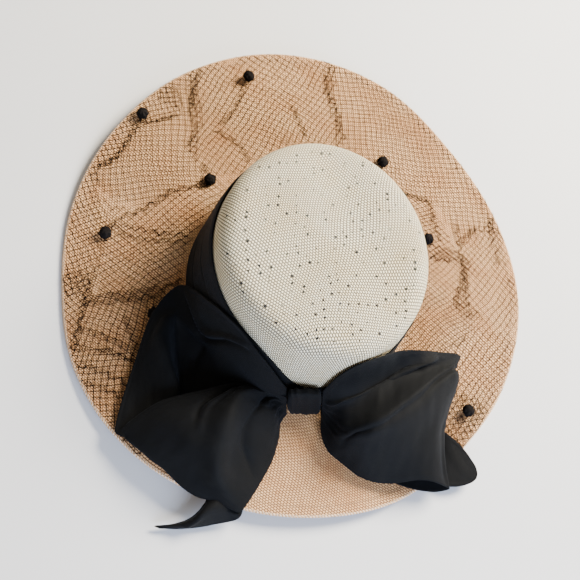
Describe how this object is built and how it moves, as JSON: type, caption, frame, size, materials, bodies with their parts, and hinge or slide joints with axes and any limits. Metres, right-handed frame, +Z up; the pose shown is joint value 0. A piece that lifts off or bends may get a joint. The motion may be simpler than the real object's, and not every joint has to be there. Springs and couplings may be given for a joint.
{
  "type": "boater hat",
  "caption": "Wide-brimmed straw boater with a flat pale crown, pleated black ribbon band, large soft bow and dotted net veil over a tan brim.",
  "frame": {"origin": "middle of the plan at the height of the brim's lowest edge", "axes": "+Z up, the bow's side at -Y, +X to the right as seen from the bow's side"},
  "size_m": [0.4043, 0.4452, 0.1031],
  "materials": {
    "pale_straw": "matte woven straw",
    "tan_straw": "matte woven straw",
    "black_ribbon": "soft satin ribbon",
    "black_net": "fine matte net",
    "black_tuft": "matte velvety pile"
  },
  "bodies": {
    "root": {"crown": "pale_straw", "brim": "tan_straw", "hat_band": "black_ribbon", "bow_knot": "black_ribbon", "bow_loop_left": "black_ribbon", "bow_loop_right": "black_ribbon", "bow_tail_left": "black_ribbon", "bow_tail_right": "black_ribbon", "veil": "black_net", "dot_1": "black_tuft", "dot_2": "black_tuft", "dot_3": "black_tuft", "dot_4": "black_tuft", "dot_5": "black_tuft", "dot_6": "black_tuft", "dot_7": "black_tuft", "dot_8": "black_tuft"}
  },
  "joints": []
}
